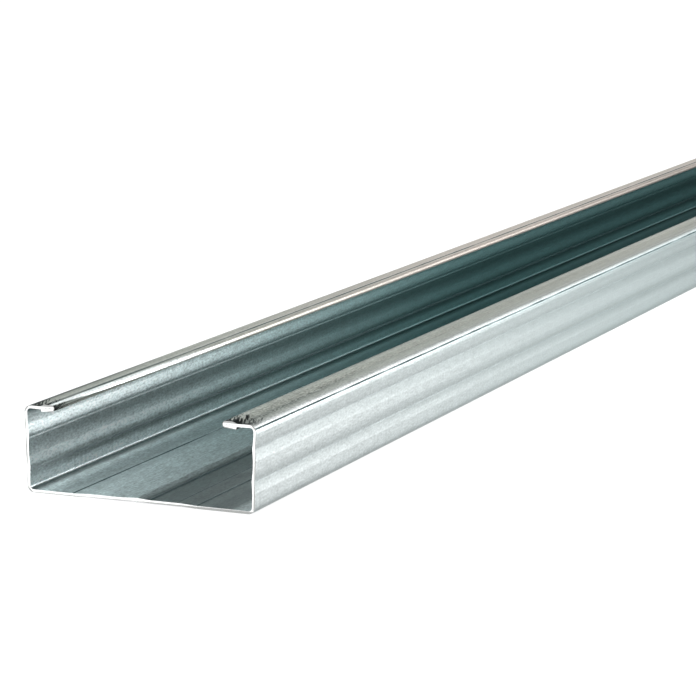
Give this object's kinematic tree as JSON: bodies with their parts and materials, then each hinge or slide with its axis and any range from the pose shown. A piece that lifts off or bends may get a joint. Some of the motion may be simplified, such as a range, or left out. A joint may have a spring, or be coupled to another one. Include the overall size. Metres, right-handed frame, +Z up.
{
  "type": "ceiling furring channel",
  "caption": "Shallow C-shaped furring channel rolled from galvanised sheet, with grooved flanges and hemmed lips turned in over an open mouth.",
  "frame": {"origin": "on the floor under the middle of the web, halfway along the length", "axes": "+X along the profile, +Y across the web, +Z up out of the open mouth"},
  "size_m": [3, 0.0478, 0.017],
  "materials": {
    "galvanised_steel": "fine-grained zinc coating, satin, with drawn roll marks along the length"
  },
  "bodies": {
    "root": {"furring_channel": "galvanised_steel"}
  },
  "joints": []
}
